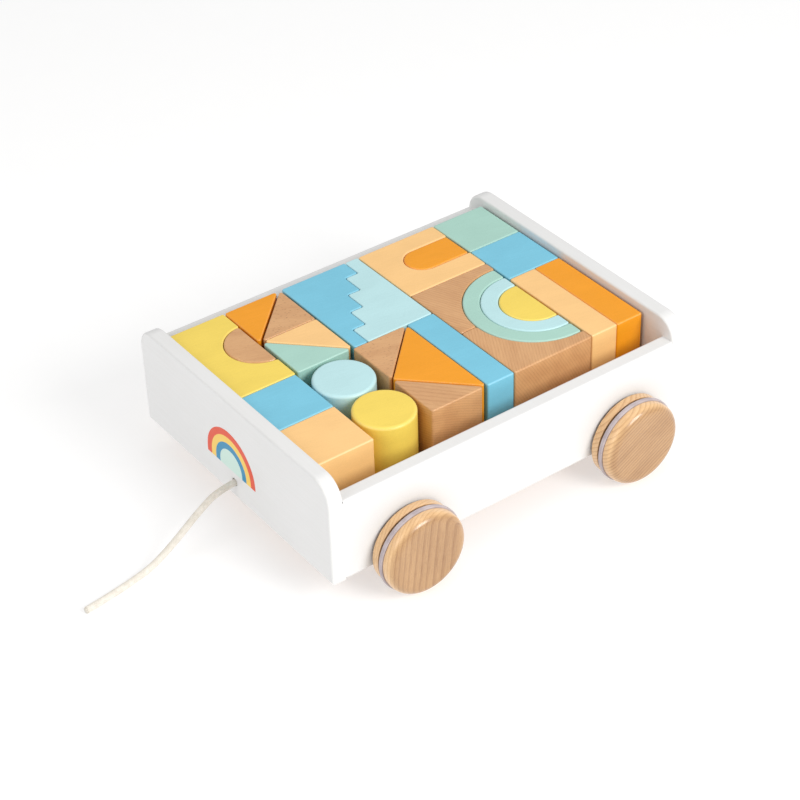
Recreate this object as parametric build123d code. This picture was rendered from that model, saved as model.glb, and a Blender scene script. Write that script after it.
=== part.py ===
from build123d import *
import math
import os

# Pull-along block wagon, in millimetres. +Z is up and -Y is the front, where the pull cord is.
# The origin is on the ground, midway between the end panels and midway between the wheels.

# ---- tray ----
TRAY_LENGTH = 266.0
TRAY_WIDTH = 203.0
BOARD = 10.0
END_HEIGHT = 70.6
SIDE_HEIGHT = 57.2
TOP_CORNER_R = 14.5
EDGE_R = 1.6
INNER_LENGTH = TRAY_LENGTH - 2 * BOARD
INNER_WIDTH = TRAY_WIDTH - 2 * BOARD
BOARD_X = (TRAY_WIDTH - BOARD) / 2

# ---- running gear ----
FLANGE_R = 27.7
RING_R = 28.6
GROOVE_R = 24.6
FLANGE_IN = 5.6
GROOVE_WIDTH = 4.6
GROOVE_LIP_R = 0.5
RING_WIDTH = 3.0
RING_EDGE_R = 0.7
WHEEL_THICK = 18.3
WHEEL_EDGE_R = 5.5
FLANGE_EDGE_R = 0.7
AXLE_D = 5.0
AXLE_CHAMFER = 0.5
AXLE_BORE_D = 5.1
AXLE_SEAT = 12.0
AXLE_ABOVE_EDGE = 6.6
FRONT_AXLE_Y = -78.6
REAR_AXLE_Y = 86.1
WHEEL_GAP = 1.5
WASHER_OD = 14.0
WASHER_THICK = 1.0

# ---- heights above the ground ----
AXLE_Z = RING_R
TRAY_Z = AXLE_Z - AXLE_ABOVE_EDGE
END_TOP = TRAY_Z + END_HEIGHT
SIDE_TOP = TRAY_Z + SIDE_HEIGHT

# ---- floor board, let into grooves in all four boards ----
FLOOR_THICK = 5.0
FLOOR_TOP = TRAY_Z + 25.8
FLOOR_Z = FLOOR_TOP - FLOOR_THICK
GROOVE_DEPTH = 4.0

# ---- dowels in the four butt joints ----
DOWEL_D = 6.0
DOWEL_CHAMFER = 0.6
DOWEL_IN_PANEL = 6.0
DOWEL_IN_BOARD = 19.0
DOWEL_HEIGHTS = (TRAY_Z + 13.0, TRAY_Z + 42.0)

# ---- cord ----
CORD_D = 4.5
CORD_HOLE_D = 5.4
CORD_Z = TRAY_Z + 11.8
KNOT_D = 12.5
KNOT_LENGTH = 10.0
KNOT_EDGE_R = 3.6
CORD_TAIL = 9.0
# From the knot, out through the front panel, down to the ground and along it to the cut end.
CORD_ROUTE = [
    (0.0, -123.0, CORD_Z),
    (0.0, -143.5, CORD_Z),
    (2.6, -161.0, 26.6),
    (3.9, -178.5, 14.6),
    (4.6, -196.0, 4.2),
    (6.9, -213.0, 2.3),
    (9.8, -229.5, 2.3),
    (12.0, -246.3, 2.3),
]
ARC_SHARE = 0.45

# ---- blocks: a square module that every block is cut to ----
CUBE = 40.0
PITCH = 40.2
BAR = 19.9
LONG = 1.5 * CUBE
BLOCK_LIFT = 0.2
BLOCK_TOP = FLOOR_TOP + BLOCK_LIFT + CUBE
BLOCK_EDGE_R = 1.1
BLOCK_CORNER_R = 1.5
FINE_EDGE_R = 0.9
FINE_CORNER_R = 1.4
BLOCKS_X = -85.5
# Front edge of each of the five rows of blocks; the first row is pushed up to the front panel.
ROW_Y = (-122.4, -80.0, -39.6, 20.9, 81.3)
# Room between blocks: at a flat face, round a curved mouth, and behind an insert's feet.
SIDE_GAP = 0.1
SEAM_GAP = 0.3
NEST_GAP = 0.35
FOOT_GAP = 1.0

# ---- shapes of single blocks ----
CYLINDER_D = 38.8
CYLINDER_EDGE_R = 2.0
CYLINDERS = (("light_blue", 101.5, -61.8), ("yellow", 140.9, -60.9))
ARCHWAY_R = 21.4
ARCHWAY_SHIFT_X = -0.9
ARCHWAY_SHIFT_Y = 0.7
HALF_DISC_TRIM = 0.5
STAIR_STEPS = 5
STAIR_RISE = 9.75
STAIR_LOW = 10.0
STAIR_HIGH = STAIR_LOW + (STAIR_STEPS - 1) * STAIR_RISE
STAIR_FRONT = -38.7
STAIR_TREAD = 16.4
# How far each triangle has slid along Y from its place in the row.
SMALL_TRIANGLE_SLIDES = (-1.1, 0.4, 0.4, -0.2)
LARGE_TRIANGLE_SLIDES = (-0.9, -0.3, -1.3)
SLOTTED_WIDTH = 56.7
SLOT_X = 27.6
SLOT_R = 12.2
SLOT_STRAIGHT = 29.0
SLOT_FOOT_GAP = 0.8
ARCH_RADII = (43.3, 32.2, 20.7)
ARCH_LEG = 5.0

SMALL = 1e-3

os.makedirs("parts", exist_ok=True)


def save(shape, node):
    """Write one sub-part to its own file."""
    shape.label = node
    export_step(shape, f"parts/{node}.step")


def box(x0, x1, y0, y1, z0, z1):
    """A box between two corners."""
    size = (x1 - x0, y1 - y0, z1 - z0)
    centre = ((x0 + x1) / 2, (y0 + y1) / 2, (z0 + z1) / 2)
    return Pos(*centre) * Box(*size)


def rod_x(x0, x1, y, z, radius):
    """A round bar along X."""
    return Pos((x0 + x1) / 2, y, z) * Rot(0, 90, 0) * Cylinder(radius, x1 - x0)


def rod_y(y0, y1, x, z, radius):
    """A round bar along Y."""
    return Pos(x, (y0 + y1) / 2, z) * Rot(90, 0, 0) * Cylinder(radius, y1 - y0)


def circles(shape):
    """The round edges of a shape."""
    return shape.edges().filter_by(GeomType.CIRCLE)


# ---------------------------------------------------------------- tray


def floor_board():
    """The floor, held in grooves in all four boards."""
    half_x = INNER_WIDTH / 2 + GROOVE_DEPTH
    half_y = INNER_LENGTH / 2 + GROOVE_DEPTH
    return box(-half_x, half_x, -half_y, half_y, FLOOR_Z, FLOOR_TOP)


def dowels():
    """Eight dowels, two in each corner joint, lying along Y."""
    pins = []
    for side in (-1, 1):
        for end in (-1, 1):
            joint_y = end * INNER_LENGTH / 2
            ends = sorted((joint_y + end * DOWEL_IN_PANEL, joint_y - end * DOWEL_IN_BOARD))
            for z in DOWEL_HEIGHTS:
                pin = rod_y(ends[0], ends[1], side * BOARD_X, z, DOWEL_D / 2)
                pins.append(chamfer(circles(pin), DOWEL_CHAMFER))
    return pins


def end_panel(end):
    """A raised end panel with two rounded top corners; end is -1 at the front and 1 at the rear."""
    half = TRAY_WIDTH / 2
    outline = Pos(0, TRAY_Z + END_HEIGHT / 2) * Rectangle(TRAY_WIDTH, END_HEIGHT)
    outline = fillet(outline.vertices().group_by(Axis.Y)[-1], TOP_CORNER_R)
    panel = extrude(Plane.XZ * outline, BOARD / 2, both=True)
    panel = fillet(panel.faces().filter_by(Axis.Y).edges(), EDGE_R)
    panel = Pos(0, end * (TRAY_LENGTH - BOARD) / 2, 0) * panel
    # Below the side boards' tops the inner corners stay square, so that the butt joint is closed.
    inner_y = end * INNER_LENGTH / 2
    y0, y1 = sorted((inner_y, inner_y + end * 2 * EDGE_R))
    for side in (-1, 1):
        x0, x1 = sorted((side * half, side * (half - 2 * EDGE_R)))
        panel += box(x0, x1, y0, y1, TRAY_Z + EDGE_R, SIDE_TOP - EDGE_R)
    panel -= floor_board()
    for pin in dowels():
        panel -= pin
    if end < 0:
        panel -= rod_y(-TRAY_LENGTH / 2 - 1, -INNER_LENGTH / 2 + 1, 0, CORD_Z, CORD_HOLE_D / 2)
    return panel


def side_board(side):
    """A side board between the end panels, bored for both axles; side is -1 or 1."""
    x0 = side * BOARD_X - BOARD / 2
    board = box(x0, x0 + BOARD, -INNER_LENGTH / 2, INNER_LENGTH / 2, TRAY_Z, SIDE_TOP)
    board = fillet(board.edges().filter_by(Axis.Y), EDGE_R)
    board -= floor_board()
    for pin in dowels():
        board -= pin
    for y in (FRONT_AXLE_Y, REAR_AXLE_Y):
        board -= rod_x(x0 - 1, x0 + BOARD + 1, y, AXLE_Z, AXLE_BORE_D / 2)
    return board


def tray():
    """The root body: four boards, the floor and the dowels that hold the corners."""
    save(end_panel(-1), "front_panel")
    save(end_panel(1), "rear_panel")
    save(side_board(-1), "side_board_left")
    save(side_board(1), "side_board_right")
    save(floor_board(), "floor_board")
    save(Compound(children=dowels()), "corner_dowels")


# ---------------------------------------------------------------- wheels and axles

WHEEL_X = TRAY_WIDTH / 2 + WHEEL_GAP


def wheel():
    """A turned wheel on the +X side: thin inner flange, groove, thick outer disc, blind bore."""
    outer = WHEEL_X + WHEEL_THICK
    groove_0 = WHEEL_X + FLANGE_IN
    groove_1 = groove_0 + GROOVE_WIDTH
    disc = rod_x(WHEEL_X, outer, 0, 0, FLANGE_R)
    disc = fillet(circles(disc).sort_by(Axis.X)[-1], WHEEL_EDGE_R)
    disc = fillet(circles(disc).sort_by(Axis.X)[0], FLANGE_EDGE_R)
    disc -= rod_x(groove_0, groove_1, 0, 0, FLANGE_R + 1) - rod_x(groove_0, groove_1, 0, 0, GROOVE_R)
    lips = []
    for rim in circles(disc):
        at_groove = min(abs(rim.center().X - groove_0), abs(rim.center().X - groove_1)) < SMALL
        if at_groove and abs(rim.radius - FLANGE_R) < SMALL:
            lips.append(rim)
    disc = fillet(lips, GROOVE_LIP_R)
    return disc - rod_x(WHEEL_X, WHEEL_X + AXLE_SEAT, 0, 0, AXLE_D / 2)


def rubber_ring():
    """The rubber ring, seated against the outer disc and standing just proud of both flanges."""
    x1 = WHEEL_X + FLANGE_IN + GROOVE_WIDTH
    x0 = x1 - RING_WIDTH
    ring = rod_x(x0, x1, 0, 0, RING_R) - rod_x(x0, x1, 0, 0, GROOVE_R)
    rims = [rim for rim in circles(ring) if abs(rim.radius - RING_R) < SMALL]
    return fillet(rims, RING_EDGE_R)


def washer():
    """The spacer between a wheel and its side board, with the same play on both faces."""
    play = (WHEEL_GAP - WASHER_THICK) / 2
    x0 = TRAY_WIDTH / 2 + play
    x1 = x0 + WASHER_THICK
    return rod_x(x0, x1, 0, 0, WASHER_OD / 2) - rod_x(x0, x1, 0, 0, AXLE_D / 2)


def axle():
    """A straight steel axle, glued into both wheels."""
    half = WHEEL_X + AXLE_SEAT
    rod = rod_x(-half, half, 0, 0, AXLE_D / 2)
    return chamfer(circles(rod), AXLE_CHAMFER)


def wheel_set(name, y):
    """One axle with everything that turns with it."""
    save(Pos(0, y, AXLE_Z) * axle(), f"axle_{name}")
    for side, turn in (("right", 0), ("left", 180)):
        place = Pos(0, y, AXLE_Z) * Rot(0, 0, turn)
        save(place * wheel(), f"wheel_{name}_{side}")
        save(place * rubber_ring(), f"rubber_ring_{name}_{side}")
        save(place * washer(), f"washer_{name}_{side}")


# ---------------------------------------------------------------- pull cord


def cord_path():
    """Straight runs joined by tangent arcs, each as large as its two runs allow."""
    points = [Vector(*p) for p in CORD_ROUTE]
    radii = []
    for a, b, c in zip(points, points[1:], points[2:]):
        turn = math.radians((b - a).get_angle(c - b))
        shorter = min((b - a).length, (c - b).length)
        radii.append(ARC_SHARE * shorter / math.tan(turn / 2))
    print("cord arc radii", [round(r, 1) for r in radii])
    return FilletPolyline(*points, radius=radii)


def pull_cord():
    """The cord from its knot to its cut end."""
    path = cord_path()
    start = Plane(origin=path @ 0, z_dir=path % 0)
    tube = sweep(start * Circle(CORD_D / 2), path=path)
    section = math.pi * CORD_D**2 / 4
    print("cord length", round(path.length, 1), "outside the panel", round(path.length - BOARD, 1))
    print("cord volume / (section x length)", round(tube.volume / (section * path.length), 4))
    return tube


def cord_knot():
    """The stopper knot behind the front panel, with its short tail."""
    y0 = -INNER_LENGTH / 2
    body = rod_y(y0, y0 + KNOT_LENGTH, 0, CORD_Z, KNOT_D / 2)
    body = fillet(circles(body), KNOT_EDGE_R)
    tail = rod_y(y0 + KNOT_LENGTH / 2, y0 + KNOT_LENGTH + CORD_TAIL, 0, CORD_Z, CORD_D / 2)
    return body + tail


# ---------------------------------------------------------------- blocks


def block_x(module):
    """X of a block edge, counted in modules from the left."""
    return BLOCKS_X + PITCH * module


def sharp_corners(outline):
    """The corners of an outline, without the points where a line runs smoothly into an arc."""
    corners = []
    for vertex in outline.vertices():
        place = Vector(vertex)
        directions = []
        for edge in outline.edges():
            for end in (0, 1):
                if (edge @ end - place).length < SMALL:
                    directions.append(edge % end)
        if directions[0].cross(directions[1]).length > SMALL:
            corners.append(vertex)
    return corners


def prism(outline, edge_r=BLOCK_EDGE_R, corner_r=BLOCK_CORNER_R):
    """A block of full height with the outline given as a face; all its edges are eased."""
    outline = fillet(sharp_corners(outline), corner_r)
    solid = extrude(Pos(0, 0, BLOCK_TOP - CUBE) * outline, CUBE)
    return fillet(solid.faces().filter_by(Axis.Z).edges(), edge_r)


def rectangle(x0, x1, y0, y1):
    """A rectangular outline between two corners."""
    return Pos((x0 + x1) / 2, (y0 + y1) / 2) * Rectangle(x1 - x0, y1 - y0)


def plain_block(module, row, width=CUBE, depth=CUBE, shift_y=0.0):
    """A cube or bar with every edge eased."""
    x0 = block_x(module) + (PITCH - CUBE) / 2
    y0 = ROW_Y[row] + shift_y
    outline = rectangle(x0, x0 + width, y0, y0 + depth)
    solid = extrude(Pos(0, 0, BLOCK_TOP - CUBE) * outline, CUBE)
    return fillet(solid.edges(), BLOCK_EDGE_R)


def corner(module, row, modules_x, cubes_y):
    """A point of a row of blocks, so many modules along X and cubes along Y from its corner."""
    return (block_x(module + modules_x), ROW_Y[row] + cubes_y * CUBE)


def triangle(points):
    """A three-cornered block, drawn in a little from its neighbours."""
    outline = make_face(Polyline(*points, close=True))
    outline = offset(outline, -NEST_GAP / 2, kind=Kind.INTERSECTION)
    return prism(outline, FINE_EDGE_R, FINE_CORNER_R)


def arch_outline(centre_x, face_y, straight, radius):
    """A round-topped opening: a half circle on two straight legs, its feet on the line face_y."""
    legs = rectangle(centre_x - radius, centre_x + radius, face_y - straight, face_y)
    return legs + Pos(centre_x, face_y - straight) * Circle(radius)


def trimmed_arch(centre_x, face_y, straight, radius):
    """The same outline with nothing beyond its feet."""
    front = face_y - straight - 2 * radius
    inside = rectangle(centre_x - 2 * radius, centre_x + 2 * radius, front, face_y)
    return arch_outline(centre_x, face_y, straight, radius) & inside


def row_end(row, depth):
    """Y of the rear faces of a row of blocks."""
    return ROW_Y[row] + depth


def front_row():
    """Yellow archway block with its half disc, and two cubes."""
    front = ROW_Y[0] + ARCHWAY_SHIFT_Y
    rear = front + CUBE
    centre = block_x(1) + ARCHWAY_SHIFT_X
    block = rectangle(block_x(0) + SIDE_GAP, block_x(2) - SEAM_GAP, front, rear)
    block -= Pos(centre, rear) * Circle(ARCHWAY_R)
    save(prism(block), "block_yellow_archway")
    half_disc = Pos(centre, rear) * Circle(ARCHWAY_R - NEST_GAP)
    half_disc &= rectangle(centre - CUBE, centre + CUBE, rear - CUBE, rear - HALF_DISC_TRIM)
    save(prism(half_disc), "block_natural_half_disc")
    save(plain_block(2, 0), "block_blue_cube_front")
    save(plain_block(3, 0), "block_peach_cube")


def second_row():
    """Four small triangles and two cylinders."""
    def at(x, y):
        return corner(0, 1, x, y)

    triangles = (
        ("orange_triangle_small", [at(0, 0), at(0, 1), at(1, 0)]),
        ("natural_triangle_front", [at(0, 1), at(1, 1), at(1, 0)]),
        ("peach_triangle", [at(1, 0), at(1, 1), at(2, 1)]),
        ("mint_triangle", [at(1, 0), at(2, 1), at(2, 0)]),
    )
    for (name, points), slide in zip(triangles, SMALL_TRIANGLE_SLIDES):
        save(Pos(0, slide, 0) * triangle(points), f"block_{name}")
    for name, x, y in CYLINDERS:
        solid = Pos(BLOCKS_X + x, y, BLOCK_TOP - CUBE / 2) * Cylinder(CYLINDER_D / 2, CUBE)
        save(fillet(circles(solid), CYLINDER_EDGE_R), f"block_{name}_cylinder")


def stair_points(x0, x1):
    """The stepped line between the two staircases, from its left end, deep, to its right, shallow."""
    points = []
    left = x0
    for step in range(STAIR_STEPS):
        y = STAIR_FRONT + STAIR_HIGH - step * STAIR_RISE
        right = x1 - (STAIR_STEPS - 1 - step) * STAIR_TREAD
        points += [(left, y), (right, y)]
        left = right
    return points


def staircase(steps, far_y):
    """A five-step block between the stepped line and its straight face at far_y."""
    outline = make_face(Polyline((steps[0][0], far_y), *steps, (steps[-1][0], far_y), close=True))
    outline = offset(outline, -NEST_GAP / 2, kind=Kind.INTERSECTION)
    return prism(outline, FINE_EDGE_R, FINE_CORNER_R)


def third_row():
    """Two staircases, three triangles and a bar."""
    steps = stair_points(block_x(0), block_x(2))
    save(staircase(steps, STAIR_FRONT), "block_blue_staircase")
    save(staircase(steps, STAIR_FRONT + STAIR_HIGH + STAIR_LOW), "block_light_blue_staircase")

    def at(x, y):
        return corner(2, 2, x, y)

    triangles = (
        ("natural_triangle_middle", [at(0, 0), at(0, 1), at(1, 0)]),
        ("orange_triangle_large", [at(0, 1), at(2, 1), at(1, 0)]),
        ("natural_triangle_side", [at(1, 0), at(2, 1), at(2, 0)]),
    )
    for (name, points), slide in zip(triangles, LARGE_TRIANGLE_SLIDES):
        save(Pos(0, slide, 0) * triangle(points), f"block_{name}")
    save(plain_block(2, 2, 2 * CUBE, BAR, CUBE + BLOCK_LIFT), "block_blue_bar")


def fourth_row():
    """Slotted block with its round-ended insert, and the nested rainbow arches."""
    front = ROW_Y[3]
    rear = row_end(3, LONG)
    x0 = block_x(0)
    x1 = x0 + SLOTTED_WIDTH
    slot_x = x0 + SLOT_X
    block = rectangle(x0 + SIDE_GAP, x1, front, rear)
    block -= arch_outline(slot_x, rear + 1, SLOT_STRAIGHT + 1, SLOT_R)
    save(prism(block), "block_peach_slotted")
    straight = SLOT_STRAIGHT - SLOT_FOOT_GAP
    insert = trimmed_arch(slot_x, rear - SLOT_FOOT_GAP, straight, SLOT_R - NEST_GAP)
    save(prism(insert), "block_orange_round_end")

    x2 = block_x(4) - SIDE_GAP
    seam = (x1 + x2) / 2
    opening = arch_outline(seam, rear + 1, ARCH_LEG + 1, ARCH_RADII[0])
    left = rectangle(x1 + SEAM_GAP, seam - SEAM_GAP / 2, front, rear) - opening
    right = rectangle(seam + SEAM_GAP / 2, x2, front, rear) - opening
    save(prism(left), "block_natural_quarter_left")
    save(prism(right), "block_natural_quarter_right")
    foot = rear - FOOT_GAP
    leg = ARCH_LEG - FOOT_GAP
    names = ("block_mint_arch", "block_light_blue_arch")
    for name, outer, inner in zip(names, ARCH_RADII, ARCH_RADII[1:]):
        arch = trimmed_arch(seam, foot, leg, outer - NEST_GAP)
        arch -= arch_outline(seam, foot + 1, leg + 1, inner)
        save(prism(arch), name)
    half_disc = trimmed_arch(seam, foot, leg, ARCH_RADII[2] - NEST_GAP)
    save(prism(half_disc), "block_yellow_half_disc")


def rear_row():
    """Two cubes and two long bars."""
    save(plain_block(0, 4), "block_mint_cube")
    save(plain_block(1, 4), "block_blue_cube_rear")
    save(plain_block(2, 4, 2 * CUBE, BAR), "block_peach_bar")
    save(plain_block(2, 4, 2 * CUBE, BAR, CUBE - BAR), "block_orange_bar")


tray()
wheel_set("front", FRONT_AXLE_Y)
wheel_set("rear", REAR_AXLE_Y)
save(pull_cord(), "pull_cord")
save(cord_knot(), "cord_knot")
front_row()
second_row()
third_row()
fourth_row()
rear_row()
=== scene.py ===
"""Block wagon with a pull cord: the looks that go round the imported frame."""

import math

import bpy
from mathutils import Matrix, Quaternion, Vector


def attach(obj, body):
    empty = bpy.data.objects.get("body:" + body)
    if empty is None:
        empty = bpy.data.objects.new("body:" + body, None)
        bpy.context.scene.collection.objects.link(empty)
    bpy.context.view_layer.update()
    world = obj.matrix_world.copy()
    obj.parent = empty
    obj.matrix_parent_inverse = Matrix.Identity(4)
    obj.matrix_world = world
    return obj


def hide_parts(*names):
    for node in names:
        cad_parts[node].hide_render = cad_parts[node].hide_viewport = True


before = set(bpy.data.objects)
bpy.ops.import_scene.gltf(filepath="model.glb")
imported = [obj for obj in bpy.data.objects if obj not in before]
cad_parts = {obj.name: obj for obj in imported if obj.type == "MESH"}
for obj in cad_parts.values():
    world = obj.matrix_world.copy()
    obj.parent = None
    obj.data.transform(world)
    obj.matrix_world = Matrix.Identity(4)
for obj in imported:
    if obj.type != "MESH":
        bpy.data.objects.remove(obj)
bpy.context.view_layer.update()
MM = 0.001

# ---------------------------------------------------------------- camera and light

CAMERA_PLACE = Vector((872.0, -628.2, 836.6)) * MM
CAMERA_TARGET = Vector((13.2, -19.5, 50.0)) * MM
CAMERA_ROLL = math.radians(-1.82)
CAMERA_LENS = 96.3
CAMERA_SENSOR = 36.0


def make_camera():
    """A long lens from the front right corner, looking well down."""
    data = bpy.data.cameras.new("camera")
    data.sensor_width = CAMERA_SENSOR
    data.lens = CAMERA_LENS
    data.clip_start = 0.01
    data.clip_end = 50
    camera = bpy.data.objects.new("camera", data)
    aim = (CAMERA_TARGET - CAMERA_PLACE).to_track_quat("-Z", "Y")
    camera.rotation_mode = "QUATERNION"
    camera.rotation_quaternion = aim @ Quaternion((0, 0, 1), CAMERA_ROLL)
    camera.location = CAMERA_PLACE
    bpy.context.scene.collection.objects.link(camera)
    bpy.context.scene.camera = camera


# Each light's name, place, target and size in metres, power in watts, and colour.
LIGHTS = (
    ("overhead", (-0.2, 0.2, 1.5), (0, 0, 0), 1.0, 2.2, (1.0, 0.995, 0.98)),
    ("right_side", (1.30, 0.30, 0.92), (0, 0, 0.07), 0.8, 16.8, (1.0, 0.985, 0.965)),
    ("front_fill", (0.1, -1.35, 0.85), (0, 0, 0.05), 1.0, 5.0, (1.0, 0.985, 0.975)),
)
WALL_LIGHT = 0.55


def area_light(name, place, target, size, power, colour):
    data = bpy.data.lights.new(name, "AREA")
    data.shape = "DISK"
    data.size = size
    data.energy = power
    data.color = colour
    light = bpy.data.objects.new(name, data)
    light.location = place
    light.rotation_euler = (Vector(target) - Vector(place)).to_track_quat("-Z", "Y").to_euler()
    bpy.context.scene.collection.objects.link(light)


def make_lights():
    """Soft studio light: boxes to the right, overhead and in front, and white walls all round."""
    for light in LIGHTS:
        area_light(*light)
    world = bpy.data.worlds.new("studio")
    world.use_nodes = True
    background = world.node_tree.nodes["Background"]
    background.inputs["Color"].default_value = (1.0, 1.0, 1.0, 1.0)
    background.inputs["Strength"].default_value = WALL_LIGHT
    bpy.context.scene.world = world
    bpy.context.scene.view_settings.view_transform = "Standard"


# ---------------------------------------------------------------- material nodes

def linear(red, green, blue):
    """A display colour from 0 to 255 as the linear colour of a shader."""
    out = []
    for value in (red, green, blue):
        share = value / 255
        out.append(share / 12.92 if share <= 0.04045 else ((share + 0.055) / 1.055) ** 2.4)
    return (*out, 1.0)


class Graph:
    """A material's nodes, with one call for each kind that the wagon's materials use."""

    def __init__(self, name):
        self.material = bpy.data.materials.new(name)
        self.material.use_nodes = True
        self.tree = self.material.node_tree
        self.shader = self.tree.nodes["Principled BSDF"]

    def feed(self, socket, value):
        if isinstance(value, bpy.types.NodeSocket):
            self.tree.links.new(value, socket)
        else:
            socket.default_value = value

    def set(self, name, value):
        self.feed(self.shader.inputs[name], value)

    def maths(self, operation, first, second=0.0, clamp=False):
        node = self.tree.nodes.new("ShaderNodeMath")
        node.operation = operation
        node.use_clamp = clamp
        self.feed(node.inputs[0], first)
        self.feed(node.inputs[1], second)
        return node.outputs[0]

    def mix(self, factor, first, second, blend="MIX"):
        node = self.tree.nodes.new("ShaderNodeMix")
        node.data_type = "RGBA"
        node.blend_type = blend
        self.feed(node.inputs[0], factor)
        self.feed(node.inputs[6], first)
        self.feed(node.inputs[7], second)
        return node.outputs[2]

    def span(self, value, low, high, to_low=0.0, to_high=1.0):
        node = self.tree.nodes.new("ShaderNodeMapRange")
        node.interpolation_type = "SMOOTHSTEP"
        for socket, number in zip(node.inputs, (value, low, high, to_low, to_high)):
            self.feed(socket, number)
        return node.outputs[0]

    def place(self):
        return self.tree.nodes.new("ShaderNodeTexCoord").outputs["Object"]

    def along(self, grain, offset, scale):
        """Places in millimetres, turned so that X runs along the grain, then stretched."""
        turned = self.tree.nodes.new("ShaderNodeMapping")
        turn = Vector(grain).normalized().rotation_difference(Vector((1, 0, 0)))
        turned.inputs["Scale"].default_value = (1000, 1000, 1000)
        turned.inputs["Rotation"].default_value = turn.to_euler()
        turned.inputs["Location"].default_value = offset
        self.feed(turned.inputs["Vector"], self.place())
        stretched = self.tree.nodes.new("ShaderNodeMapping")
        stretched.inputs["Scale"].default_value = scale
        self.feed(stretched.inputs["Vector"], turned.outputs[0])
        return stretched.outputs[0]

    def noise(self, vector, detail=2.0, roughness=0.5):
        """Noise in the units of the places that it is given."""
        node = self.tree.nodes.new("ShaderNodeTexNoise")
        self.feed(node.inputs["Vector"], vector)
        node.inputs["Scale"].default_value = 1.0
        node.inputs["Detail"].default_value = detail
        node.inputs["Roughness"].default_value = roughness
        return node.outputs["Fac"]

    def rings(self, vector, spacing, distortion):
        """Growth rings round the grain's own axis, spacing millimetres apart."""
        node = self.tree.nodes.new("ShaderNodeTexWave")
        node.wave_type = "RINGS"
        node.rings_direction = "X"
        node.wave_profile = "SAW"
        self.feed(node.inputs["Vector"], vector)
        node.inputs["Scale"].default_value = math.pi / (10 * spacing)
        node.inputs["Distortion"].default_value = distortion
        node.inputs["Detail"].default_value = 2.0
        node.inputs["Detail Scale"].default_value = 0.6
        return node.outputs["Fac"]

    def dashes(self, vector, size):
        """Short marks, 1 at the middle of a mark and 0 between them."""
        node = self.tree.nodes.new("ShaderNodeTexVoronoi")
        self.feed(node.inputs["Vector"], vector)
        node.inputs["Scale"].default_value = 1.0
        return self.span(node.outputs["Distance"], size * 0.35, size, 1.0, 0.0)

    def bump(self, height, strength, distance):
        node = self.tree.nodes.new("ShaderNodeBump")
        node.inputs["Strength"].default_value = strength
        node.inputs["Distance"].default_value = distance
        self.feed(node.inputs["Height"], height)
        self.set("Normal", node.outputs[0])

    def facing_out(self):
        """1 on a wheel's flat faces and 0 round its tread, from how far the surface faces along X."""
        normal = self.tree.nodes.new("ShaderNodeTexCoord").outputs["Normal"]
        parts = self.tree.nodes.new("ShaderNodeSeparateXYZ")
        self.feed(parts.inputs[0], normal)
        return self.span(self.maths("ABSOLUTE", parts.outputs["X"]), 0.35, 0.90)

    def eased_edge(self):
        """1 on the rounded edges round a level top, and 0 on flat and upright faces."""
        normal = self.tree.nodes.new("ShaderNodeTexCoord").outputs["Normal"]
        parts = self.tree.nodes.new("ShaderNodeSeparateXYZ")
        self.feed(parts.inputs[0], normal)
        level = self.maths("ABSOLUTE", parts.outputs["Z"])
        both = self.maths("MULTIPLY", level, self.maths("SUBTRACT", 1.0, level))
        return self.maths("MULTIPLY", both, 4.0, clamp=True)


# ---------------------------------------------------------------- materials

BEECH_LIGHT = linear(219, 169, 117)
BEECH_DARK = linear(186, 131, 84)
BEECH_FLECK = linear(140, 92, 58)
# The tread's colours are paler than the flat faces' colours: partly the grain cut across on the tread, partly
# painted light, with the tread painted as lit and the faces as shaded.
SHADED_FACE_PALE = linear(190, 149, 104)
SHADED_FACE_DEEP = linear(146, 104, 65)
LIT_TREAD_PALE = linear(232, 192, 142)
LIT_TREAD_DEEP = linear(196, 150, 102)
# Growth rings, in millimetres from one to the next.
BLOCK_RING = 1.6
WHEEL_RING = 2.1


def beech(name, grain, offset, rings, flecks, turned):
    """Beech under clear satin lacquer: rings, fibres along the grain, and short dark flecks."""
    spacing = WHEEL_RING if turned else BLOCK_RING
    light, dark = (SHADED_FACE_PALE, SHADED_FACE_DEEP) if turned else (BEECH_LIGHT, BEECH_DARK)
    graph = Graph(name)
    wave = graph.rings(graph.along(grain, offset, (0.03, 1.0, 1.0)), spacing, 1.4)
    late = graph.span(wave, 0.45, 1.0)
    fibre = graph.noise(graph.along(grain, offset, (0.12, 2.6, 2.6)), 4.0, 0.6)
    broad = graph.noise(graph.along(grain, offset, (0.02, 0.09, 0.09)), 2.0)
    fleck = graph.dashes(graph.along(grain, offset, (0.30, 0.95, 0.95)), 0.26)
    tone = graph.maths("MULTIPLY", late, rings)
    tone = graph.maths("ADD", tone, graph.span(fibre, 0.35, 0.70, 0.0, 0.42))
    tone = graph.maths("ADD", tone, graph.span(broad, 0.35, 0.65, -0.08, 0.18), clamp=True)
    colour = graph.mix(tone, light, dark)
    colour = graph.mix(graph.maths("MULTIPLY", fleck, flecks), colour, BEECH_FLECK)
    # Painted light and shade on the wheels: the tread takes the paler tread colours and the flat faces the
    # darker ones, partly also for the tread's grain.
    if turned:
        side = graph.mix(tone, LIT_TREAD_PALE, LIT_TREAD_DEEP)
        colour = graph.mix(graph.facing_out(), side, colour)
    graph.set("Base Color", colour)
    rough = graph.span(fibre, 0.3, 0.7, 0.26, 0.38)
    graph.set("Roughness", graph.maths("ADD", rough, graph.maths("MULTIPLY", fleck, 0.15)))
    height = graph.maths("SUBTRACT", fibre, graph.maths("MULTIPLY", fleck, 0.5))
    graph.bump(height, 0.25, 0.00006)
    graph.set("Coat Weight", 0.45)
    graph.set("Coat Roughness", 0.16)
    return graph.material


PAINT_GRAIN = (0.2, 1.0, 0.05)
PAINT_ROUGHNESS = 0.36
# How far the paint on a block's rounded edges goes to white, partly as worn paint and partly as a painted
# highlight, and how far the ink of the print has gone to white.
EDGE_HIGHLIGHT_AND_WEAR_TINT = 0.22
INK_TINT = 0.06


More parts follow.
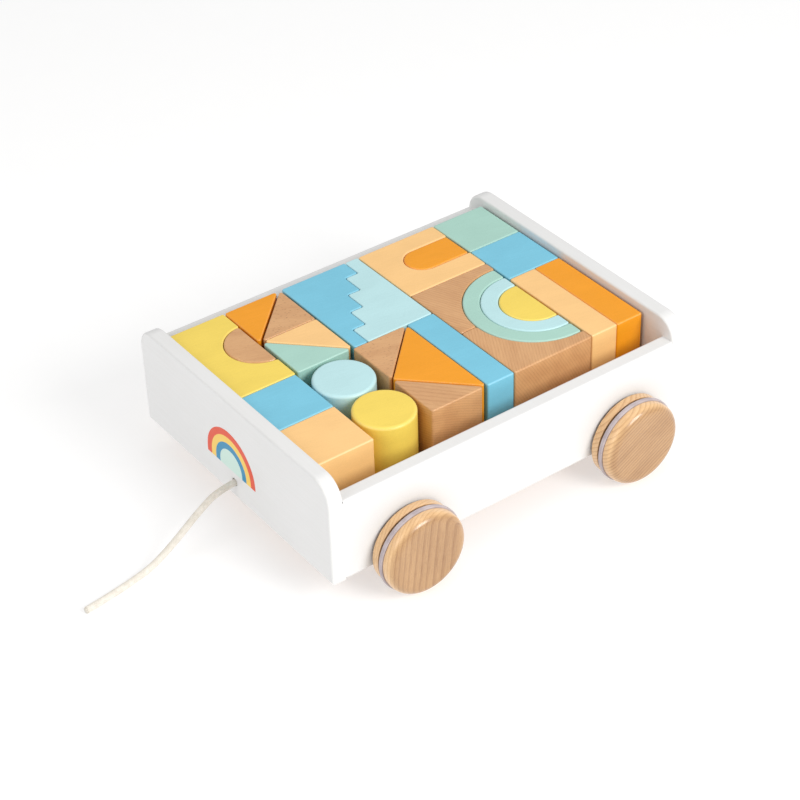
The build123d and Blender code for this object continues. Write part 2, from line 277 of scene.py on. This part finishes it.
def paint(name, colour):
    """Thin satin paint on beech: a sprayed skin, the grain just telling, and paler edges, partly worn paint
    and partly a painted highlight.
    """
    graph = Graph(name)
    edge = tinted(colour, EDGE_HIGHLIGHT_AND_WEAR_TINT)
    fibre = graph.noise(graph.along(PAINT_GRAIN, (3, 5, 7), (0.05, 1.3, 1.3)), 3.0, 0.55)
    broad = graph.noise(graph.along(PAINT_GRAIN, (3, 5, 7), (0.03, 0.06, 0.06)), 3.0)
    spray = graph.noise(graph.along(PAINT_GRAIN, (0, 0, 0), (1.5, 1.5, 1.5)), 3.0, 0.6)
    pale = tuple(min(1.0, part * 1.05 + 0.008) for part in colour[:3]) + (1.0,)
    deep = tuple(part * 0.92 for part in colour[:3]) + (1.0,)
    tone = graph.span(fibre, 0.30, 0.75, 0.0, 0.22)
    tone = graph.maths("ADD", tone, graph.span(broad, 0.3, 0.7, 0.0, 0.35))
    tone = graph.maths("ADD", tone, graph.span(spray, 0.3, 0.7, 0.0, 0.35), clamp=True)
    base = graph.mix(tone, pale, deep)
    # Paler rounded edges: partly worn paint, partly a painted highlight where light catches the eased edges.
    edge_highlight_and_wear = graph.maths("MULTIPLY", graph.eased_edge(), graph.span(spray, 0.40, 0.66, 0.12, 0.60))
    graph.set("Base Color", graph.mix(edge_highlight_and_wear, base, edge))
    graph.set("Roughness", graph.span(spray, 0.3, 0.7, PAINT_ROUGHNESS - 0.05, PAINT_ROUGHNESS + 0.08))
    graph.set("Specular IOR Level", 0.40)
    height = graph.maths("ADD", graph.maths("MULTIPLY", fibre, 0.5), graph.maths("MULTIPLY", spray, 0.6))
    graph.bump(height, 0.25, 0.00005)
    return graph.material


def tinted(colour, share):
    """The colour moved part of the way to white."""
    return tuple(part + (1.0 - part) * share for part in colour[:3]) + (1.0,)


PAINTS = {
    "yellow": linear(241, 212, 94),
    "blue": linear(121, 196, 221),
    "light_blue": linear(187, 225, 229),
    "peach": linear(247, 200, 134),
    "orange": linear(240, 156, 16),
    "mint": linear(168, 209, 196),
}


def white_paint():
    """Satin white lacquer, rolled on: an even skin with a faint grain under it."""
    graph = Graph("white_paint")
    fibre = graph.noise(graph.along((1, 0, 0), (0, 0, 0), (0.03, 0.9, 0.9)), 4.0, 0.55)
    skin = graph.noise(graph.along((1, 0, 0), (0, 0, 0), (0.9, 0.9, 0.9)), 3.0, 0.6)
    broad = graph.noise(graph.along((1, 0, 0), (9, 2, 4), (0.02, 0.02, 0.02)), 2.0)
    tone = graph.maths("MULTIPLY", graph.span(fibre, 0.3, 0.7), 0.5)
    tone = graph.maths("ADD", tone, graph.span(broad, 0.35, 0.65, 0.0, 0.4), clamp=True)
    base = graph.mix(tone, linear(230, 230, 230), linear(226, 226, 225))
    # Lighter, warmer eased edges: partly wear, partly a painted highlight.
    edge_highlight_and_wear = graph.maths("MULTIPLY", graph.eased_edge(), graph.span(skin, 0.45, 0.7, 0.0, 0.5))
    graph.set("Base Color", graph.mix(edge_highlight_and_wear, base, linear(232, 230, 226)))
    graph.set("Roughness", graph.span(skin, 0.3, 0.7, 0.34, 0.48))
    height = graph.maths("ADD", graph.maths("MULTIPLY", fibre, 0.6), skin)
    graph.bump(height, 0.22, 0.00006)
    graph.set("Coat Weight", 0.08)
    graph.set("Coat Roughness", 0.25)
    return graph.material


def rubber():
    """Dull grey rubber with a moulded grain and a little dust."""
    graph = Graph("rubber")
    fine = graph.noise(graph.along((1, 0, 0), (0, 0, 0), (5.0, 5.0, 5.0)), 3.0, 0.6)
    dust = graph.noise(graph.along((1, 0, 0), (4, 1, 2), (0.12, 0.12, 0.12)), 3.0)
    tone = graph.span(dust, 0.35, 0.7)
    graph.set("Base Color", graph.mix(tone, linear(172, 160, 163), linear(190, 179, 181)))
    graph.set("Roughness", graph.span(fine, 0.3, 0.7, 0.55, 0.75))
    graph.bump(fine, 0.35, 0.00004)
    return graph.material


def steel():
    """Drawn steel rod: streaks along the axle."""
    graph = Graph("steel")
    streak = graph.noise(graph.along((1, 0, 0), (0, 0, 0), (0.05, 6.0, 6.0)), 3.0, 0.6)
    graph.set("Base Color", graph.mix(streak, linear(196, 196, 198), linear(160, 160, 163)))
    graph.set("Roughness", graph.span(streak, 0.3, 0.7, 0.24, 0.40))
    graph.set("Metallic", 1.0)
    graph.bump(streak, 0.2, 0.00003)
    return graph.material


def nylon():
    """Milky nylon with a faint moulding grain."""
    graph = Graph("nylon")
    grain = graph.noise(graph.along((1, 0, 0), (0, 0, 0), (3.0, 3.0, 3.0)), 3.0)
    graph.set("Base Color", graph.mix(grain, linear(238, 238, 234), linear(228, 228, 222)))
    graph.set("Roughness", graph.span(grain, 0.3, 0.7, 0.42, 0.55))
    graph.bump(grain, 0.2, 0.00004)
    return graph.material


def cotton():
    """Undyed cotton yarn: fine fibres, soft sheen, and a little unevenness along the cord."""
    graph = Graph("cotton")
    fibre = graph.noise(graph.along((0.3, 1, 0.2), (0, 0, 0), (2.0, 9.0, 9.0)), 3.0, 0.65)
    patch = graph.noise(graph.along((0.3, 1, 0.2), (1, 1, 1), (0.25, 0.25, 0.25)), 2.0)
    tone = graph.maths("MULTIPLY", graph.span(fibre, 0.3, 0.7), 0.7)
    tone = graph.maths("ADD", tone, graph.span(patch, 0.3, 0.7, 0.0, 0.4), clamp=True)
    graph.set("Base Color", graph.mix(tone, linear(243, 239, 230), linear(218, 211, 198)))
    graph.set("Roughness", graph.span(fibre, 0.3, 0.7, 0.82, 0.95))
    graph.set("Sheen Weight", 0.25)
    graph.set("Sheen Roughness", 0.5)
    graph.bump(fibre, 0.5, 0.00012)
    return graph.material


def wear_material(node, material):
    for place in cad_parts[node].material_slots:
        place.material = material


# For each bare wooden piece: the grain's direction, a shift of its pattern in millimetres, and how
# strongly its rings and its flecks show.
WOODEN = {
    "block_natural_half_disc": ((0.45, 0.9, 0.0), (20, 14, 240), 0.10, 0.30),
    "block_natural_triangle_front": ((0.55, 0.83, 0.0), (35, 22, 260), 0.05, 0.85),
    "block_natural_triangle_middle": ((0.35, 0.93, 0.0), (7, 50, 230), 0.08, 0.70),
    "block_natural_triangle_side": ((0.80, 0.60, 0.04), (5, 150, 95), 0.34, 0.20),
    "block_natural_quarter_left": ((0.92, 0.40, 0.0), (60, 170, 90), 0.34, 0.15),
    "block_natural_quarter_right": ((0.86, -0.50, 0.0), (15, 190, 60), 0.32, 0.10),
    "wheel_front_right": ((0.0, 0.12, 0.99), (0, 60, 220), 0.42, 0.30),
    "wheel_rear_right": ((0.0, 0.86, 0.50), (30, 90, 250), 0.58, 0.20),
    "wheel_front_left": ((0.0, 0.75, -0.66), (12, 55, 240), 0.42, 0.25),
    "wheel_rear_left": ((0.0, 0.35, 0.93), (44, 38, 230), 0.42, 0.25),
    "corner_dowels": ((0.0, 1.0, 0.0), (0, 30, 30), 0.2, 0.3),
    "floor_board": ((0.0, 1.0, 0.02), (0, 140, 25), 0.4, 0.2),
}


def dress_frame():
    """Gives every piece of the frame its own finish."""
    for node, (grain, offset, rings, flecks) in WOODEN.items():
        turned = node.startswith("wheel")
        wear_material(node, beech("beech_" + node, grain, offset, rings, flecks, turned))
    coats = {name: paint("paint_" + name, colour) for name, colour in PAINTS.items()}
    lacquer = white_paint()
    others = {"rubber_ring": rubber(), "axle": steel(), "washer": nylon()}
    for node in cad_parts:
        for name, material in others.items():
            if node.startswith(name):
                wear_material(node, material)
        for name, material in coats.items():
            if node.startswith("block_" + name + "_"):
                wear_material(node, material)
        if node in ("front_panel", "rear_panel", "side_board_left", "side_board_right"):
            wear_material(node, lacquer)


# ---------------------------------------------------------------- pieces

def add_mesh(name, points, faces, material, smooth=True):
    data = bpy.data.meshes.new(name)
    data.from_pydata([tuple(point) for point in points], [], faces)
    data.validate()
    data.materials.append(material)
    data.polygons.foreach_set("use_smooth", [smooth] * len(data.polygons))
    piece = bpy.data.objects.new(name, data)
    bpy.context.scene.collection.objects.link(piece)
    return piece


CORD_D = 4.5 * MM
STRAND_STEP = 0.34 * MM
KNOT_SHARE = 0.80
# The points that the cord's line is drawn towards, in millimetres, from inside the front panel
# out through its hole, down to the floor, and along it to the cut end.
CORD_ROUTE = (
    (0.0, -123.0, 33.8),
    (0.0, -143.5, 33.8),
    (2.6, -161.0, 26.6),
    (3.9, -178.5, 14.6),
    (4.6, -196.0, 4.2),
    (6.9, -213.0, 2.3),
    (9.8, -229.5, 2.3),
    (12.0, -246.3, 2.3),
)


def nurbs_line(name, route, resolution):
    """The smooth line of one NURBS spline with the route as its control points."""
    curve = bpy.data.curves.new(name, "CURVE")
    curve.dimensions = "3D"
    spline = curve.splines.new("NURBS")
    spline.points.add(len(route) - 1)
    for point, place in zip(spline.points, route):
        point.co = (place[0] * MM, place[1] * MM, place[2] * MM, 1.0)
    spline.order_u = 3
    spline.use_endpoint_u = True
    spline.resolution_u = resolution
    holder = bpy.data.objects.new(name, curve)
    bpy.context.scene.collection.objects.link(holder)
    bpy.context.view_layer.update()
    data = bpy.data.meshes.new_from_object(holder)
    line = [vertex.co.copy() for vertex in data.vertices]
    bpy.data.objects.remove(holder)
    bpy.data.meshes.remove(data)
    return line


def evenly(line, step):
    """The line again, with its points step apart."""
    far = [0.0]
    for first, second in zip(line, line[1:]):
        far.append(far[-1] + (second - first).length)
    count = max(2, round(far[-1] / step))
    out = []
    at = 0
    for number in range(count + 1):
        goal = far[-1] * number / count
        while at < len(far) - 2 and far[at + 1] < goal:
            at += 1
        share = (goal - far[at]) / max(far[at + 1] - far[at], 1e-9)
        out.append(line[at].lerp(line[at + 1], share))
    return out


def frames_along(line):
    """Two directions square to the line at each of its points, which turn as little as they can."""
    tangents = []
    for number in range(len(line)):
        before = line[max(number - 1, 0)]
        after = line[min(number + 1, len(line) - 1)]
        tangents.append((after - before).normalized())
    side = tangents[0].orthogonal().normalized()
    frames = [(side, tangents[0].cross(side))]
    for before, after in zip(tangents, tangents[1:]):
        side = before.rotation_difference(after) @ side
        side = (side - after * side.dot(after)).normalized()
        frames.append((side, after.cross(side)))
    return frames


YARNS = 8
BRAID_PITCH = 13.0 * MM
YARN_SIDES = 6
CORE_SIDES = 12
# The braid in shares of the cord's radius: its core, the line of its yarns, half of a yarn's width and
# thickness, and how far the yarns rise and dip where they cross.
CORE = 0.80
YARN_LINE = 0.78
YARN_WIDE = 0.34
YARN_THICK = 0.15
YARN_WAVE = 0.07
# How many steps of the line each yarn stops short of the core's two ends.
YARN_INSET = 2


def tube(points, faces, rings):
    """Adds a closed tube through rings of points, with a face at each end."""
    start = len(points)
    sides = len(rings[0])
    for ring in rings:
        points.extend(ring)
    for number in range(len(rings) - 1):
        low = start + number * sides
        for side in range(sides):
            after = (side + 1) % sides
            faces.append((low + side, low + after, low + sides + after, low + sides + side))
    faces.append(tuple(start + side for side in reversed(range(sides))))
    faces.append(tuple(start + (len(rings) - 1) * sides + side for side in range(sides)))


def braided(name, line, diameter, material):
    """A braided cord: eight yarns each way over and under each other, round a soft core."""
    radius = diameter / 2
    frames = frames_along(line)
    step = (line[1] - line[0]).length
    thick = radius * YARN_THICK
    wide = radius * YARN_WIDE
    middle = radius * YARN_LINE
    wave = radius * YARN_WAVE
    core = radius * CORE
    points, faces = [], []
    rings = []
    for place, (side, up) in zip(line, frames):
        ring = []
        for number in range(CORE_SIDES):
            angle = math.tau * number / CORE_SIDES
            ring.append(place + side * (core * math.cos(angle)) + up * (core * math.sin(angle)))
        rings.append(ring)
    tube(points, faces, rings)
    for way in (1, -1):
        for yarn in range(YARNS):
            centres, outward = [], []
            laid = list(zip(line, frames))[YARN_INSET:-YARN_INSET]
            for number, (place, (side, up)) in enumerate(laid):
                turn = step * number / BRAID_PITCH
                angle = math.tau * (yarn / YARNS + way * turn)
                out = side * math.cos(angle) + up * math.sin(angle)
                reach = middle + way * wave * math.cos(math.tau * YARNS * turn)
                centres.append(place + out * reach)
                outward.append(out)
            rings = []
            for number, (centre, out) in enumerate(zip(centres, outward)):
                before = centres[max(number - 1, 0)]
                after = centres[min(number + 1, len(centres) - 1)]
                ahead = (after - before).normalized()
                across = ahead.cross(out).normalized()
                lift = across.cross(ahead)
                ring = []
                for corner in range(YARN_SIDES):
                    angle = math.tau * corner / YARN_SIDES
                    ring.append(centre + across * (wide * math.cos(angle)) + lift * (thick * math.sin(angle)))
                rings.append(ring)
            tube(points, faces, rings)
    return add_mesh(name, points, faces, material)


def knot_route():
    """A double stopper knot behind the panel: through, back in two turns round itself, and out."""
    middle = Vector((0.0, -117.6, 33.8))
    route = [Vector((0, -5.2, 0)), Vector((0, -2.0, 0)), Vector((0.4, 1.2, 0.2)), Vector((2.2, 3.6, 0.6))]
    for number in range(15):
        angle = math.tau * number / 7
        route.append(Vector((4.2 * math.cos(angle), 3.1 - 0.42 * number, 4.2 * math.sin(angle))))
    route += [Vector((0.8, -2.6, 1.6)), Vector((-1.4, -0.6, 0.8)), Vector((-1.6, 2.5, -0.4))]
    route += [Vector((-1.2, 5.5, -1.0)), Vector((-0.8, 9.0, -1.4)), Vector((-0.2, 12.6, -2.4))]
    return [middle + point for point in route]


def make_cord(material):
    """The pull cord from its hole to its cut end, and its stopper knot behind the panel."""
    line = evenly(nurbs_line("cord_line", CORD_ROUTE, 24), STRAND_STEP)
    cord = braided("pull_cord_braid", line, CORD_D, material)
    knot_line = evenly(nurbs_line("knot_line", knot_route(), 12), STRAND_STEP)
    knot = braided("stopper_knot", knot_line, CORD_D * KNOT_SHARE, material)
    for piece, node in ((cord, "pull_cord"), (knot, "cord_knot")):
        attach(piece, "tray")
        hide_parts(node)


ARCH_FOOT = 41.0 * MM
ARCH_LEG = 2.5 * MM
ARCH_MIDDLE = -2.7 * MM
PRINT_FACE = -133.0 * MM
PRINT_SKIN = 0.08 * MM
PRINT_STEPS = 72
# Each band's name, outer and inner radius in millimetres, slot, and colour.
PRINT_BANDS = (
    ("red", 26.0, 21.3, "paint_orange", linear(226, 74, 34)),
    ("yellow", 21.3, 16.5, "paint_yellow", linear(247, 205, 92)),
    ("blue", 16.5, 11.9, "paint_blue", linear(26, 138, 182)),
    ("mint", 11.9, 0.0, "paint_mint", linear(203, 230, 220)),
)


def print_ink(name, colour):
    """Silk-screen ink on the white panel: flat, a little speckled, and slightly glossy."""
    graph = Graph(name)
    speck = graph.noise(graph.along((1, 0, 0), (0, 0, 0), (3.5, 3.5, 3.5)), 3.0, 0.6)
    broad = graph.noise(graph.along((1, 0, 0), (0, 0, 0), (0.2, 0.2, 0.2)), 2.0)
    tone = graph.maths("ADD", graph.span(speck, 0.35, 0.7, 0.0, 0.20), graph.span(broad, 0.3, 0.7, 0.0, 0.1))
    graph.set("Base Color", graph.mix(tone, colour, tinted(colour, INK_TINT)))
    graph.set("Roughness", graph.span(speck, 0.3, 0.7, 0.36, 0.5))
    graph.bump(speck, 0.25, 0.00004)
    return graph.material


def arch_outline(radius):
    """An arch with short straight legs, from its right foot over the top to its left foot."""
    outline = [Vector((ARCH_MIDDLE + radius, 0, ARCH_FOOT))]
    for number in range(PRINT_STEPS + 1):
        angle = math.pi * number / PRINT_STEPS
        across = ARCH_MIDDLE + radius * math.cos(angle)
        outline.append(Vector((across, 0, ARCH_FOOT + ARCH_LEG + radius * math.sin(angle))))
    outline.append(Vector((ARCH_MIDDLE - radius, 0, ARCH_FOOT)))
    return outline


def make_print():
    """The printed arch on the front panel, each band a skin of ink of its own."""
    back = Vector((0, PRINT_FACE, 0))
    front = Vector((0, PRINT_FACE - PRINT_SKIN, 0))
    for name, outer, inner, slot, colour in PRINT_BANDS:
        rim = arch_outline(outer * MM)
        if inner:
            hole = arch_outline(inner * MM)
        else:
            hole = [Vector((point.x, 0, ARCH_FOOT)) for point in rim]
        count = len(rim)
        points = []
        for layer in (front, back):
            points += [layer + point for point in rim]
            points += [layer + point for point in hole]
        faces = []
        for at in range(count - 1):
            faces.append((at, at + 1, count + at + 1, count + at))
            low = 2 * count
            faces.append((low + at, low + count + at, low + count + at + 1, low + at + 1))
            faces.append((at + 1, at, low + at, low + at + 1))
            faces.append((count + at, count + at + 1, low + count + at + 1, low + count + at))
        faces.append((0, count, 3 * count, 2 * count))
        faces.append((count - 1, 3 * count - 1, 4 * count - 1, 2 * count - 1))
        piece = add_mesh("printed_arch_" + name, points, faces, print_ink("ink_" + name, colour), False)
        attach(piece, "tray")


FLOOR_HALF = 4.0


def make_floor():
    """A plain pale studio floor under the wheels, which glows a little, so that shadows stay light."""
    graph = Graph("studio_floor")
    fine = graph.noise(graph.along((1, 0, 0), (0, 0, 0), (0.05, 0.05, 0.05)), 3.0)
    graph.set("Base Color", graph.mix(fine, (0.56, 0.56, 0.56, 1), (0.54, 0.54, 0.54, 1)))
    graph.set("Roughness", graph.span(fine, 0.3, 0.7, 0.75, 0.85))
    graph.set("Emission Color", (1.0, 1.0, 1.0, 1.0))
    graph.set("Emission Strength", 0.50)
    corners = [(-FLOOR_HALF, -FLOOR_HALF, 0), (FLOOR_HALF, -FLOOR_HALF, 0)]
    corners += [(FLOOR_HALF, FLOOR_HALF, 0), (-FLOOR_HALF, FLOOR_HALF, 0)]
    floor = add_mesh("studio_floor", corners, [(0, 1, 2, 3)], graph.material, False)


make_camera()
make_lights()
make_cord(cotton())
dress_frame()
make_print()
make_floor()
